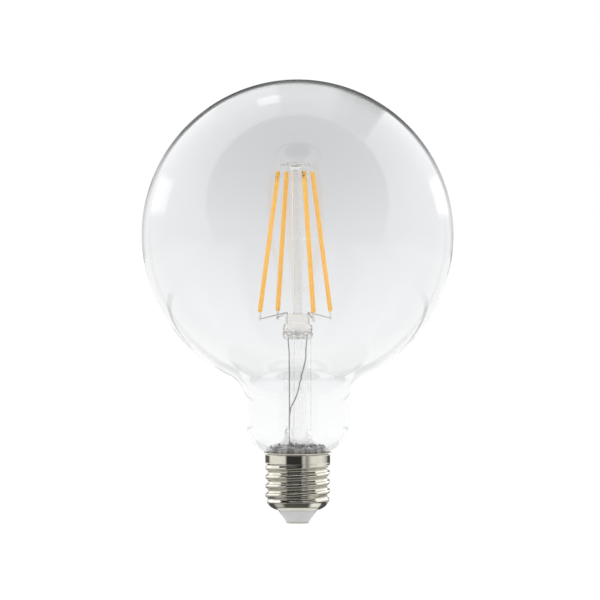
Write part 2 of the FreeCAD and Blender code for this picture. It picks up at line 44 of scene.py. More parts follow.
# Globe and neck, as in the solids
GLOBE_RADIUS = 62.5 * MM
OVERALL_LENGTH = 178.0 * MM
GLASS_WALL = 0.8 * MM
NECK_RADIUS = 20.7 * MM
NECK_FILLET = 12.0 * MM
NECK_ROUND = 12.0 * MM
NECK_STRAIGHT_BOTTOM = 39.8 * MM
SEAL_RADIUS = 12.2 * MM
SEAL_FILLET = 1.0 * MM
SEAL_BOTTOM = 24.8 * MM
GLOBE_CENTRE_HEIGHT = OVERALL_LENGTH - GLOBE_RADIUS
GLASS_SEGMENTS = 160
GLASS_STEP = 1.6 * MM
LEAST_ARC_STEPS = 3
ON_AXIS = 1e-7                  # a ring smaller than this is one point

# Cap's shell, as in the solids
THREAD_PITCH = 3.629 * MM
THREAD_ARC = 1.025 * MM
THREAD_RADIUS = 13.225 * MM
THREAD_CREST_HEIGHT = 22.1 * MM
THREAD_CREST_DEGREES = 180      # side of the cap where a crest has that height
THREAD_TOP = 24.6 * MM
THREAD_TOP_FADE = 2.4 * MM
THREAD_BOTTOM = 8.2 * MM
THREAD_BOTTOM_FADE = 2.2 * MM
SHEET = 0.3 * MM
RIM_RADIUS = 13.75 * MM
RIM_HEIGHT = 28.3 * MM
RIM_CURVE = 0.9 * MM
SKIRT_RADIUS = 13.3 * MM
SHOULDER_ROUND = 6.0 * MM
SHELL_MOUTH_RADIUS = 8.4 * MM
SHELL_BOTTOM = 5.4 * MM
RIM_STEPS = 8
SKIRT_STEPS = 6
SKIN_STEPS = 300                # down the thread, on the outside
LINING_STEPS = 75               # down the thread, on the inside
SHOULDER_STEPS = 32
SHELL_SEGMENTS = 180

# Ranges that a value is spread from or to
RISING = (0.0, 1.0)
FALLING = (1.0, 0.0)
WIDE_SPAN = (0.3, 0.7)
CLOUD_SPAN = (0.35, 0.7)
PATCH_SPAN = (0.4, 0.75)
MARK_SPAN = (0.35, 0.65)
STREAK_SPAN = (0.4, 0.6)
SPOT_SPAN = (0.54, 0.6)

# Clear glass, with the height of its waves in each piece
GLASS_INDEX = 1.5
WAVE_SCALE = 45.0
WAVE_STRENGTH = 0.15
GLOBE_TINT = (0.972, 0.976, 0.976)
GLOBE_WAVE = 0.3 * MM
STEM_TINT = (0.985, 0.988, 0.985)
STEM_WAVE = 0.01 * MM
COLUMN_TINT = (0.945, 0.948, 0.945)
TUBE_TINT = (0.99, 0.992, 0.99)
ROD_WAVE = 0.005 * MM

# Stem: the milky press between the leads, with a painted glow that brightens it as light would
PRESS_HEIGHTS = (76.6 * MM, 78.8 * MM)      # from clear to milky
PRESS_SIDES = (3.8 * MM, 4.4 * MM)          # from milky to clear
PRESS_MILK = (1.0, 0.995, 0.975)
PRESS_PAINTED_GLOW_COLOUR = (1.0, 0.995, 0.97, 1.0)
PRESS_PAINTED_GLOW = 0.14

# Stem: the streaked seal of its flare, and the nearly unseen glass just above
SEAL_EDGE = (30.1 * MM, 30.7 * MM)
SEAL_DENSITY = 0.9
STREAK_SCALE = 420.0
STREAK_STRETCH = (1.0, 1.0, 0.04)
STREAK_SHIFTS = (-0.9 * MM, 0.6 * MM)
STREAK_DARK = (0.2, 0.2, 0.2)
STREAK_PALE = (0.97, 0.97, 0.95)
THIN_START = (30.4 * MM, 30.7 * MM)
THIN_END = (34.7 * MM, 38.7 * MM)
CLEARNESS = (1.0, 0.04)                     # of clear glass, and of milky or sealed glass
HAZE = (0.0, 0.2)                           # roughness of the same two
DENSITY = (1.0, 0.15)                       # of plain glass, and of the nearly unseen glass

# Nickel plate
NICKEL_BRIGHT = (0.74, 0.715, 0.62)
NICKEL_DULL = (0.66, 0.637, 0.56)
NICKEL_GRAIN = 0.25
NICKEL_LINES = (60.0, 60.0, 9000.0)
NICKEL_PATCHES = 170.0
LINE_ROUGHNESS = (0.04, 0.08)
PATCH_ROUGHNESS = (0.0, 0.05)
LINE_STRENGTH = 0.03
LINE_DEPTH = 0.01 * MM

# Drawn wire
WIRE_MARKS = 1400.0
WIRE_DARKENING = 0.72
WIRE_ROUGHNESS = (0.28, 0.42)
OUTER_LEAD_COLOUR = (0.42, 0.41, 0.40)
INNER_LEAD_COLOUR = (0.62, 0.61, 0.59)
TOP_WIRE_COLOUR = (0.75, 0.74, 0.72)
TERMINAL_COLOUR = (0.9, 0.89, 0.87)

# Filaments: silicone with yellow phosphor and a painted glow that stands in for light the glass keeps out, and
# the dark marks at two heads
FILAMENT_NUMBERS = (1, 2, 3, 4)
MARKED_FILAMENTS = (3, 4)
PHOSPHOR_CLOUD = 700.0
PHOSPHOR_DEEP = (0.95, 0.5, 0.08)
PHOSPHOR_PALE = (0.96, 0.58, 0.13)
PHOSPHOR_PAINTED_GLOW_DEEP = (1.0, 0.5, 0.09)
PHOSPHOR_PAINTED_GLOW_PALE = (1.0, 0.56, 0.12)
PHOSPHOR_PAINTED_GLOW = 0.32
PHOSPHOR_DEPTH = 0.5 * MM
PHOSPHOR_DEPTH_SHARE = 0.3
PHOSPHOR_DEPTH_COLOUR = (1.0, 0.6, 0.2)
PHOSPHOR_SHINE = 0.35
PHOSPHOR_ROUGHNESS = (0.42, 0.55)
PHOSPHOR_GRAIN = 2600.0
PHOSPHOR_GRAIN_STRENGTH = 0.2
PHOSPHOR_GRAIN_DEPTH = 0.04 * MM
HEAD_MARK_HEIGHTS = (137.0 * MM, 137.8 * MM)
HEAD_MARK_SCALE = 1300.0
HEAD_MARK_COLOUR = (0.1, 0.05, 0.02)
HEAD_MARK_PAINTED_GLOW = (0.0, 0.0, 0.0)

# Satin solids: material, colour, second shade, grain, roughness, and the nodes made of it
SATIN_CLOUD = 220.0
SATIN_ROUGHNESS_SPREAD = 0.08
SATIN_GRAIN_STRENGTH = 0.2
SATIN_GRAIN_DEPTH = 0.03 * MM
CARRIER_STRIPS = tuple(f"filament_{number}_strip" for number in FILAMENT_NUMBERS)
CHIP_ROWS = tuple(f"filament_{number}_chips" for number in FILAMENT_NUMBERS)
SATIN_SOLIDS = (
    ("carrier_strip", (0.85, 0.84, 0.78), (0.8, 0.8, 0.75), 3000.0, 0.5, CARRIER_STRIPS),
    ("chips", (0.3, 0.36, 0.5), (0.26, 0.3, 0.45), 3000.0, 0.3, CHIP_ROWS),
    ("insulator", (0.82, 0.815, 0.815), (0.77, 0.765, 0.77), 2400.0, 0.38, ("cap_insulator",)),
    ("cement", (0.4, 0.38, 0.35), (0.33, 0.31, 0.29), 1500.0, 0.8, ("basing_cement",)),
    ("sleeve_plastic", (0.8, 0.8, 0.78), (0.76, 0.76, 0.74), 1800.0, 0.5, ("driver_sleeve",)),
    ("board", (0.05, 0.2, 0.08), (0.04, 0.16, 0.07), 1800.0, 0.45, ("driver_board",)),
    ("capacitor_sleeve", (0.05, 0.05, 0.07), (0.04, 0.04, 0.05), 1800.0, 0.35, ("storage_capacitor",)),
    ("ferrite", (0.06, 0.055, 0.05), (0.05, 0.045, 0.045), 2500.0, 0.6, ("inductor",)),
    ("resistor_lacquer", (0.1, 0.25, 0.36), (0.09, 0.22, 0.32), 1800.0, 0.35, ("fuse_resistor",)),
    ("package", (0.03, 0.03, 0.03), (0.035, 0.035, 0.04), 2500.0, 0.5,
     ("bridge_rectifier", "driver_chip", "chip_resistors")),
    ("wire_cover", (0.55, 0.04, 0.03), (0.5, 0.035, 0.03), 1800.0, 0.4, ("live_wire", "neutral_wire")),
)

# White surroundings and floor: levels as a light, looked at straight, and mirrored or through glass
WHITE = (1.0, 1.0, 1.0, 1.0)
BLACK = (0.0, 0.0, 0.0, 1.0)
SURROUNDINGS_STRAY = 0.8
SURROUNDINGS_STRAIGHT = 1.0
SURROUNDINGS_MIRRORED = 1.05
FLOOR_STRAY = 0.3
FLOOR_STRAIGHT = 0.68
FLOOR_MIRRORED = 0.6
FLOOR_COLOUR = (0.45, 0.45, 0.45, 1.0)
FLOOR_ROUGHNESS = 0.9
FLOOR_REACH = 60.0

# Places of the studio's cards
GLOBE_MIDDLE = Vector((0.0, 0.0, GLOBE_CENTRE_HEIGHT))
SURROUND_DISTANCE = 2.4
BACKDROP_DISTANCE = 1.5
GAUZE_DISTANCE = 90 * MM
GREEN_DISTANCE = 50 * MM
SCREEN_REACH = 250 * MM
TABLE_CLEARANCE = 1 * MM

# Extents of the studio's cards: degrees from the camera's side and round the view, reach and azimuth on the
# table, heights and sides of upright cards
SURROUND_SPREADS = (2, 176)
CROWN_GAP_SPREADS = (152, 171)
UPPER_TURNS = (-10, 190)
APRON_REACH = (30 * MM, 2.2)
APRON_AZIMUTHS = (-72, 72)
TABLE_REACH = (30 * MM, 70 * MM)
LEFT_AZIMUTHS = (-156, -72)
RIGHT_AZIMUTHS = (72, 156)
SHADE_REACH = (9 * MM, 29 * MM)
SHADE_AZIMUTHS = (-180, 180)
SCREEN_HEIGHTS = (1 * MM, 60 * MM)
SCREEN_AZIMUTHS = (-156, 156)
GREEN_CARD_HEIGHTS = (50.5 * MM, 60.5 * MM)
GREEN_LEFT_SIDES = (-39 * MM, -24 * MM)
GREEN_RIGHT_SIDES = (24 * MM, 39 * MM)
GAUZE_HEIGHTS = (48 * MM, 300 * MM)
GAUZE_SIDES = (-250 * MM, 250 * MM)
BACKDROP_HEIGHTS = (-20 * MM, 360 * MM)
BACKDROP_SIDES = (-500 * MM, 500 * MM)

# Surround: turns are degrees round the view from the right, radii are shares of the globe's radius in the view
SURROUND_TINT = (0.975, 0.97, 1.0)
CAMERA_SIDE_EDGE = 0.53
CAMERA_SIDE_EDGE_RISE = 0.225
CAMERA_SIDE_EDGE_SOFT = 0.015
CAMERA_SIDE_DARK = 0.03
CAMERA_SIDE_TABLE = 0.27
CAMERA_SIDE_FADE = (-4, 22)
PANEL_LEVEL = 1.02
PANEL_UPPER = 0.48
PANEL_UPPER_FADE = (0, 30)
RIM_LEVEL = 0.6
RIM_RADII = (0.976, 0.988)
CROWN_TURNS = (55, 125, 52)
CROWN_RADII = (0.962, 0.975)
CROWN_LEVEL = 0.12
CROWN_GAP_LEVEL = 0.2
CROWN_GAP_SIDES = 0.5
CROWN_GAP_TINT = (0.92, 1.0, 0.98)

# Brighter and darker patches of the surround: change of level, edges in turns, edges in radii
PAST_RIM = (2.0, 3.0)
FROM_MIDDLE = (-2.0, -1.0)
SURROUND_PATCHES = (
    (-0.4, (68, 72, 96, 100), (*FROM_MIDDLE, *PAST_RIM)),
    (-0.35, (52, 60, 120, 128), (0.86, 0.95, *PAST_RIM)),
    (-1.25, (54, 56, 64, 78), (0.7, 0.76, *PAST_RIM)),
    (1.3, (154, 159, 168, 173), (0.83, 0.86, 0.925, 0.955)),
    (1.3, (6, 11, 20, 25), (0.88, 0.905, 0.955, 0.98)),
    (1.5, (96, 99, 105, 108), (0.837, 0.855, 0.885, 0.903)),
)

# Seen through the glass: white backdrop, grey gauze, pale green patches in the curve above the neck
BACKDROP_WHITE = (0.975, 0.975, 0.99)
GAUZE_MIDDLE = 162 * MM
GAUZE_WIDTH = 88 * MM
GAUZE_ABOVE = 77 * MM
GAUZE_BELOW = 67 * MM
GAUZE_DENSITY = 0.348
GAUZE_SHADE = (0.0, 0.0, 0.0)
GAUZE_FOOT = (48 * MM, 83 * MM)
GREEN_PATCH_SIDES = (27 * MM, 36 * MM, 3 * MM)
GREEN_PATCH_HEIGHTS = (53 * MM, 58 * MM, 2.5 * MM)
GREEN_SHADE = (0.79, 0.85, 0.83)
GREEN_AROUND = 0.99

# Dark and pale strips round the cap: azimuth in degrees from the camera to the right, and level there
STRIPS_ROUND = (
    (-156, 0.7), (-140, 0.12), (-118, 0.12), (-107, 0.95), (-62, 1.0), (-43, 0.85), (-37, 0.04), (13, 0.04),
    (18, 0.6), (25, 0.65), (29, 0.33), (34, 0.38), (48, 0.95), (90, 1.0), (108, 0.75), (120, 0.5), (127, 0.08),
    (148, 0.08), (156, 0.7))
TABLE_GREY = 0.4
TABLE_PALER = 0.5
TABLE_FADE = (30 * MM, 120 * MM)
STRIP_NEAR_SHARE = 0.35
STRIP_FADE = (34 * MM, 55 * MM)
FAR_DARKNESS = 0.68
FAR_AZIMUTHS = (-62, 62, 10)
FAR_FADE = (0.35, 1.6)
SCREEN_SIDE_AZIMUTHS = (85, 100)
SCREEN_SIDE_HEIGHTS = (13 * MM, 18 * MM)

# Shade under the cap's shoulder
SHADE_LEVEL = 0.1
SHADE_RIGHT_LEVEL = 1.1
SHADE_RIGHT_AZIMUTHS = (45, 72, 14)
SHADE_LEFT_LEVEL = 0.6
SHADE_LEFT_AZIMUTHS = (-68, -52, 18)
SHADE_PATCH_REACH = (13 * MM, 18 * MM, 3 * MM)
SHADE_INNER_EDGE = (9.5 * MM, 11.5 * MM)
SHADE_OUTER_EDGE = (25.5 * MM, 27.5 * MM)
SHADE_OUTER_LEVEL = 0.7

# Studio's lights
LIGHT_AIM = Vector((0.0, 0.0, 90 * MM))
LIGHT_SIZE = 0.9

# Photograph: 600 pixels square
IMAGE_PIXELS = 600
PIXEL_SIZE = 0.4014 * MM        # at the lamp's axis
AXIS_PIXEL = 297.6
CONTACT_PIXEL = 523.3
HORIZON_PIXEL = 237.0
CAMERA_DISTANCE = 1.3
SENSOR_WIDTH = 36.0
GLASS_BOUNCES = 40
MIRROR_BOUNCES = 10


class Nodes:
    """A material's node tree with short calls for the nodes that this script uses."""

    def __init__(self, name):
        self.material = bpy.data.materials.new(name)
        self.material.use_nodes = True
        self.tree = self.material.node_tree
        self.shader = self.tree.nodes["Principled BSDF"]
        self.place = self.add("ShaderNodeTexCoord").outputs["Object"]

    def add(self, kind, **values):
        """New node with some of its properties set."""
        node = self.tree.nodes.new(kind)
        for key, value in values.items():
            setattr(node, key, value)
        return node

    def link(self, source, target):
        """Joins an output to an input."""
        self.tree.links.new(source, target)

    def set(self, **values):
        """Sets plain values on the shader's inputs."""
        for key, value in values.items():
            self.shader.inputs[key.replace("_", " ")].default_value = value

    def feed(self, name, source):
        """Joins an output to one of the shader's inputs."""
        self.link(source, self.shader.inputs[name])

    def stretched(self, scale):
        """Object coordinates scaled by three factors."""
        node = self.add("ShaderNodeVectorMath", operation="MULTIPLY")
        self.link(self.place, node.inputs[0])
        node.inputs[1].default_value = scale
        return node.outputs[0]

    def noise(self, scale, detail, vector=None):
        """Noise over the piece, or over other coordinates."""
        node = self.add("ShaderNodeTexNoise")
        node.inputs["Scale"].default_value = scale
        node.inputs["Detail"].default_value = detail
        self.link(vector or self.place, node.inputs["Vector"])
        return node.outputs["Fac"]

    def spread(self, value, span, to=RISING):
        """Value moved from one range to another, held inside it."""
        node = self.add("ShaderNodeMapRange")
        self.link(value, node.inputs["Value"])
        for name, number in zip(("From Min", "From Max", "To Min", "To Max"), (*span, *to)):
            node.inputs[name].default_value = number
        return node.outputs["Result"]

    def mix(self, share, first, second):
        """Colour between two others, each a colour or a socket."""
        node = self.add("ShaderNodeMix", data_type="RGBA")
        self.link(share, node.inputs["Factor"])
        for name, colour in (("A", first), ("B", second)):
            socket = [item for item in node.inputs if item.name == name and item.type == "RGBA"][0]
            if isinstance(colour, tuple):
                socket.default_value = (*colour, 1.0)
            else:
                self.link(colour, socket)
        return [item for item in node.outputs if item.type == "RGBA"][0]

    def math(self, operation, first, second):
        """Result of one operation on two values, each a number or a socket."""
        node = self.add("ShaderNodeMath", operation=operation)
        for socket, value in zip(node.inputs, (first, second)):
            if isinstance(value, (int, float)):
                socket.default_value = value
            else:
                self.link(value, socket)
        return node.outputs[0]

    def axis(self, name):
        """One of the object coordinates."""
        node = self.add("ShaderNodeSeparateXYZ")
        self.link(self.place, node.inputs[0])
        return node.outputs[name]

    def bump(self, height, strength, distance):
        """Fine relief of the surface."""
        node = self.add("ShaderNodeBump")
        node.inputs["Strength"].default_value = strength
        node.inputs["Distance"].default_value = distance
        self.link(height, node.inputs["Height"])
        self.feed("Normal", node.outputs["Normal"])


def ramp(value, low, high):
    """Smooth step from 0 at the low value to 1 at the high one."""
    share = max(0.0, min(1.0, (value - low) / (high - low)))
    return share * share * (3 - 2 * share)


def between(value, start, full, until, end):
    """Rises from 0 to 1 between the first two values and falls back to 0 between the last two."""
    return ramp(value, start, full) * (1 - ramp(value, until, end))


def within(value, low, high, soft):
    """Is 1 between two values and fades to 0 on both sides."""
    return between(value, low - soft, low, high, high + soft)


def dress(material, *names):
    """Puts a material on carried-over nodes."""
    for name in names:
        slots = nodes[name].data.materials
        slots.clear()
        slots.append(material)


def clear_glass(name, tint, wave):
    """Clear soda glass with the slight waves of blown work."""
    glass = Nodes(name)
    glass.set(Base_Color=(*tint, 1.0), Transmission_Weight=1.0, IOR=GLASS_INDEX, Roughness=0.0)
    glass.bump(glass.noise(WAVE_SCALE, detail=2.0), WAVE_STRENGTH, wave)
    return glass


def stem_glass():
    """Stem glass: clear, milky with a painted glow in the press between the leads, streaked at the seal, thin
    just above it.
    """
    glass = clear_glass("stem_glass", STEM_TINT, STEM_WAVE)
    height = glass.axis("Z")
    across = glass.math("ABSOLUTE", glass.axis("X"), 0.0)
    pressed = glass.spread(height, PRESS_HEIGHTS)
    milky = glass.math("MULTIPLY", pressed, glass.spread(across, PRESS_SIDES, FALLING))
    streaks = glass.noise(STREAK_SCALE, detail=1.0, vector=glass.stretched(STREAK_STRETCH))
    ragged = glass.math("ADD", height, glass.spread(streaks, MARK_SPAN, STREAK_SHIFTS))
    sealed = glass.spread(ragged, SEAL_EDGE, FALLING)
    shades = glass.mix(glass.spread(streaks, STREAK_SPAN), STREAK_DARK, STREAK_PALE)
    glass.feed("Base Color", glass.mix(sealed, glass.mix(milky, STEM_TINT, PRESS_MILK), shades))
    solid = glass.math("MAXIMUM", milky, glass.math("MULTIPLY", sealed, SEAL_DENSITY))
    glass.feed("Transmission Weight", glass.spread(solid, RISING, CLEARNESS))
    glass.feed("Roughness", glass.spread(solid, RISING, HAZE))
    thin = glass.math("MULTIPLY", glass.spread(ragged, THIN_START), glass.spread(height, THIN_END, FALLING))
    glass.feed("Alpha", glass.spread(thin, RISING, DENSITY))
    # Painted glow: the milky press gives off a little light of its own, which brightens it as light would
    glass.set(Emission_Color=PRESS_PAINTED_GLOW_COLOUR)
    glass.feed("Emission Strength", glass.math("MULTIPLY", milky, PRESS_PAINTED_GLOW))
    return glass.material


def nickel():
    """Bright nickel plate with fine marks that run round the cap, and duller patches from handling."""
    metal = Nodes("nickel_plate")
    metal.set(Metallic=1.0, Anisotropic=NICKEL_GRAIN)
    lines = metal.noise(1.0, detail=4.0, vector=metal.stretched(NICKEL_LINES))
    patches = metal.noise(NICKEL_PATCHES, detail=4.0)
    metal.feed("Base Color", metal.mix(metal.spread(patches, CLOUD_SPAN), NICKEL_BRIGHT, NICKEL_DULL))
    line_roughness = metal.spread(lines, WIDE_SPAN, LINE_ROUGHNESS)
    patch_roughness = metal.spread(patches, PATCH_SPAN, PATCH_ROUGHNESS)
    metal.feed("Roughness", metal.math("ADD", line_roughness, patch_roughness))
    metal.bump(lines, LINE_STRENGTH, LINE_DEPTH)
    return metal.material


def wire_metal(name, colour):
    """Drawn wire: dull bright, with small darker marks."""
    metal = Nodes(name)
    metal.set(Metallic=1.0)
    marks = metal.noise(WIRE_MARKS, detail=3.0)
    darker = tuple(WIRE_DARKENING * part for part in colour)
    metal.feed("Base Color", metal.mix(metal.spread(marks, MARK_SPAN), colour, darker))
    metal.feed("Roughness", metal.spread(marks, WIDE_SPAN, WIRE_ROUGHNESS))
    return metal.material


def satin(name, colour, shade, grain, roughness):
    """Satin solid, with a faint cloud of a second shade and a fine grain."""
    body = Nodes(name)
    cloud = body.noise(SATIN_CLOUD, detail=4.0)
    fine = body.noise(grain, detail=2.0)
    body.feed("Base Color", body.mix(body.spread(cloud, CLOUD_SPAN), colour, shade))
    roughnesses = (roughness - SATIN_ROUGHNESS_SPREAD, roughness + SATIN_ROUGHNESS_SPREAD)
    body.feed("Roughness", body.spread(fine, WIDE_SPAN, roughnesses))
    body.bump(fine, SATIN_GRAIN_STRENGTH, SATIN_GRAIN_DEPTH)
    return body.material


def phosphor(name, head_marks):
    """Silicone with yellow phosphor in a faint cloud and a painted glow, with dark marks near the head where
    asked.
    """
    coat = Nodes(name)
    coat.set(Subsurface_Weight=PHOSPHOR_DEPTH_SHARE, Subsurface_Scale=PHOSPHOR_DEPTH)
    coat.set(Subsurface_Radius=PHOSPHOR_DEPTH_COLOUR, Specular_IOR_Level=PHOSPHOR_SHINE)
    cloud = coat.noise(PHOSPHOR_CLOUD, detail=3.0)
    share = coat.spread(cloud, WIDE_SPAN)
    colour = coat.mix(share, PHOSPHOR_DEEP, PHOSPHOR_PALE)
    # Painted glow: the coat gives off light of its own, which brightens the filaments inside the globe as
    # light would; the head marks take it away
    glow = coat.mix(share, PHOSPHOR_PAINTED_GLOW_DEEP, PHOSPHOR_PAINTED_GLOW_PALE)
    if head_marks:
        near_head = coat.spread(coat.axis("Z"), HEAD_MARK_HEIGHTS)
        spots = coat.spread(coat.noise(HEAD_MARK_SCALE, detail=1.0), SPOT_SPAN)
        marks = coat.math("MULTIPLY", near_head, spots)
        colour = coat.mix(marks, colour, HEAD_MARK_COLOUR)
        glow = coat.mix(marks, glow, HEAD_MARK_PAINTED_GLOW)
    coat.feed("Base Color", colour)
    coat.feed("Emission Color", glow)
    coat.set(Emission_Strength=PHOSPHOR_PAINTED_GLOW)
    coat.feed("Roughness", coat.spread(cloud, WIDE_SPAN, PHOSPHOR_ROUGHNESS))
    coat.bump(coat.noise(PHOSPHOR_GRAIN, detail=2.0), PHOSPHOR_GRAIN_STRENGTH, PHOSPHOR_GRAIN_DEPTH)
    return coat.material


def arc_points(centre, radius, first, last):
    """Points along an arc of the glass's half section, from one angle to another."""
    steps = max(LEAST_ARC_STEPS, math.ceil(abs(math.radians(last - first)) * radius / GLASS_STEP))
    points = []
    for step in range(steps + 1):
        angle = math.radians(first + (last - first) * step / steps)
        points.append((centre[0] + radius * math.cos(angle), centre[1] + radius * math.sin(angle)))
    return points


def glass_section(inset):
    """Half section of the globe and neck from crown to seal, moved into the glass by the inset."""
    fillet_out = NECK_RADIUS + NECK_FILLET
    fillet_down = math.sqrt((GLOBE_RADIUS + NECK_FILLET) ** 2 - fillet_out ** 2)
    globe_angle = -math.degrees(math.atan2(fillet_down, fillet_out))
    round_out = NECK_RADIUS - NECK_ROUND
    seal_across = SEAL_RADIUS + SEAL_FILLET - round_out
    seal_down = math.sqrt((NECK_ROUND + SEAL_FILLET) ** 2 - seal_across ** 2)
    round_angle = -math.degrees(math.atan2(seal_down, seal_across))
    globe = (0.0, GLOBE_CENTRE_HEIGHT)
    fillet = (fillet_out, GLOBE_CENTRE_HEIGHT - fillet_down)
    lower_round = (round_out, NECK_STRAIGHT_BOTTOM)
    seal = (SEAL_RADIUS + SEAL_FILLET, NECK_STRAIGHT_BOTTOM - seal_down)
    points = arc_points(globe, GLOBE_RADIUS - inset, 90, globe_angle)
    points += arc_points(fillet, NECK_FILLET + inset, globe_angle + 180, 180)[1:]
    points += arc_points(lower_round, NECK_ROUND - inset, 0, round_angle)
    points += arc_points(seal, SEAL_FILLET + inset, round_angle + 180, 180)[1:]
    points.append((SEAL_RADIUS - inset, SEAL_BOTTOM))
    return points


def ring(radius, height, segments):
    """Level ring of points about the lamp's axis, or one point on it."""
    if radius < ON_AXIS:
        return [(0.0, 0.0, height)]
    angles = [2 * math.pi * step / segments for step in range(segments)]
    return [(radius * math.cos(angle), radius * math.sin(angle), height) for angle in angles]


def ringed_piece(name, rings, sharp_rings=(), closed=False):
    """Smooth mesh through rings of points, from the last back to the first where it is closed."""
    mesh = bmesh.new()
    loops = [[mesh.verts.new(point) for point in points] for points in rings]
    following_loops = loops[1:] + (loops[:1] if closed else [])
    for upper, lower in zip(loops, following_loops):
        count = max(len(upper), len(lower))
        for step in range(count):
            following = (step + 1) % count
            corners = [upper[step % len(upper)], lower[step % len(lower)],
                       lower[following % len(lower)], upper[following % len(upper)]]
            face = mesh.faces.new(list(dict.fromkeys(corners)))
            face.smooth = True
    for number in sharp_rings:
        loop = loops[number]
        for first, second in zip(loop, loop[1:] + loop[:1]):
            mesh.edges.get((first, second)).smooth = False
    bmesh.ops.recalc_face_normals(mesh, faces=mesh.faces)
    data = bpy.data.meshes.new(name)
    mesh.to_mesh(data)
    mesh.free()
    piece = bpy.data.objects.new(name, data)
    bpy.context.collection.objects.link(piece)
    return piece


def globe_piece():
    """The blown globe and neck as one fine even skin, outside and inside, in place of the coarser mesh."""
    section = glass_section(0.0) + list(reversed(glass_section(GLASS_WALL)))
    rings = [ring(radius, height, GLASS_SEGMENTS) for radius, height in section]
    piece = ringed_piece("globe_glass", rings)
    piece.data.materials.append(clear_glass("globe_glass", GLOBE_TINT, GLOBE_WAVE).material)
    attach(piece, "root")
    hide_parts("glass_globe")


def thread_inset(height, degrees, inwards):
    """Depth of the rolled thread below its crests, on the surface that lies inwards in the sheet."""
    crest = THREAD_CREST_HEIGHT + THREAD_PITCH * (degrees - THREAD_CREST_DEGREES) / 360
    along = (height - crest + THREAD_PITCH / 2) % THREAD_PITCH - THREAD_PITCH / 2
    from_crest = abs(along)
    from_root = THREAD_PITCH / 2 - from_crest
    flank = math.asin(THREAD_PITCH / (4 * THREAD_ARC))
    centre_step = 2 * THREAD_ARC * math.cos(flank)
    crest_arc = THREAD_ARC - inwards
    root_arc = THREAD_ARC + inwards
    if from_crest < crest_arc * math.sin(flank):
        return crest_arc - math.sqrt(crest_arc ** 2 - from_crest ** 2)
    return crest_arc - centre_step + math.sqrt(root_arc ** 2 - from_root ** 2)


def thread_weight(height):
    """Share of the full thread depth at a height; it fades in below the skirt and out above the mouth."""
    from_top = ramp(THREAD_TOP - height, 0, THREAD_TOP_FADE)
    from_bottom = ramp(height - THREAD_BOTTOM, 0, THREAD_BOTTOM_FADE)
    return from_top * from_bottom


def shell_outline(thread_steps):
    """Half section of the cap's shell from rim to mouth: radius, height, and outward direction in degrees."""
    outline = []
    flare = math.degrees(math.acos(1 - (RIM_RADIUS - SKIRT_RADIUS) / RIM_CURVE))
    rim_out = SKIRT_RADIUS + RIM_CURVE
    rim_up = RIM_HEIGHT - RIM_CURVE * math.sin(math.radians(flare))
    for step in range(RIM_STEPS):
        angle = 180 - flare + flare * step / RIM_STEPS
        out = rim_out + RIM_CURVE * math.cos(math.radians(angle))
        up = rim_up + RIM_CURVE * math.sin(math.radians(angle))
        outline.append((out, up, angle + 180))
    for step in range(SKIRT_STEPS):
        outline.append((SKIRT_RADIUS, rim_up - (rim_up - THREAD_TOP) * step / SKIRT_STEPS, 0))
    round_out = THREAD_RADIUS - SHOULDER_ROUND
    mouth_out = SHELL_MOUTH_RADIUS - round_out
    round_up = SHELL_BOTTOM + math.sqrt(SHOULDER_ROUND ** 2 - mouth_out ** 2)
    for step in range(thread_steps):
        height = THREAD_TOP - (THREAD_TOP - round_up) * step / thread_steps
        narrowing = ramp(THREAD_TOP - height, 0, THREAD_TOP_FADE)
        outline.append((SKIRT_RADIUS + (THREAD_RADIUS - SKIRT_RADIUS) * narrowing, height, 0))
    mouth_angle = -math.degrees(math.acos(mouth_out / SHOULDER_ROUND))
    for step in range(SHOULDER_STEPS + 1):
        angle = mouth_angle * step / SHOULDER_STEPS
        out = round_out + SHOULDER_ROUND * math.cos(math.radians(angle))
        up = round_up + SHOULDER_ROUND * math.sin(math.radians(angle))
        outline.append((out, up, angle))
    return outline


def shell_rings(inwards, thread_steps):
    """Rings of the shell's surface at a depth inside its outer skin, from rim to mouth."""
    rings = []
    for out, up, outward in shell_outline(thread_steps):
        radius = out - inwards * math.cos(math.radians(outward))
        height = up - inwards * math.sin(math.radians(outward))
        points = []
        for step in range(SHELL_SEGMENTS):
            degrees = 360.0 * step / SHELL_SEGMENTS
            at = radius - thread_weight(height) * thread_inset(height, degrees, inwards)
            points.append((at * math.cos(math.radians(degrees)), at * math.sin(math.radians(degrees)), height))
        rings.append(points)
    return rings


def shell_piece(plate):
    """The cap's rolled shell as one fine even sheet, in place of the unevenly meshed solid."""
    skin = shell_rings(0.0, SKIN_STEPS)
    lining = shell_rings(SHEET, LINING_STEPS)
    ends = (0, len(skin) - 1, len(skin), len(skin) + len(lining) - 1)
    piece = ringed_piece("rolled_shell", skin + list(reversed(lining)), ends, closed=True)
    piece.data.materials.append(plate)
    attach(piece, "root")
    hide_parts("cap_shell")


def dress_nodes(plate):
    """Materials of the carried-over nodes."""
    dress(clear_glass("column_glass", COLUMN_TINT, ROD_WAVE).material, "support_column")
    dress(clear_glass("tube_glass", TUBE_TINT, ROD_WAVE).material, "exhaust_tube")
    dress(stem_glass(), "stem_flare")
    dress(plate, "centre_contact", "contact_pin")
    dress(wire_metal("outer_lead_wire", OUTER_LEAD_COLOUR), "outer_lead_left", "outer_lead_right")
    dress(wire_metal("top_wire", TOP_WIRE_COLOUR), "top_wire_front", "top_wire_back")
    wire = wire_metal("inner_lead_wire", INNER_LEAD_COLOUR)
    terminal = wire_metal("terminal_strip", TERMINAL_COLOUR)
    plain_coat = phosphor("phosphor_coat", False)
    marked_coat = phosphor("phosphor_coat_marked", True)
    for number in FILAMENT_NUMBERS:
        dress(wire, f"inner_lead_{number}")
        dress(terminal, f"filament_{number}_foot", f"filament_{number}_head")
        dress(marked_coat if number in MARKED_FILAMENTS else plain_coat, f"filament_{number}_coat")
    for name, colour, shade, grain, roughness, names in SATIN_SOLIDS:
        dress(satin(name, colour, shade, grain, roughness), *names)


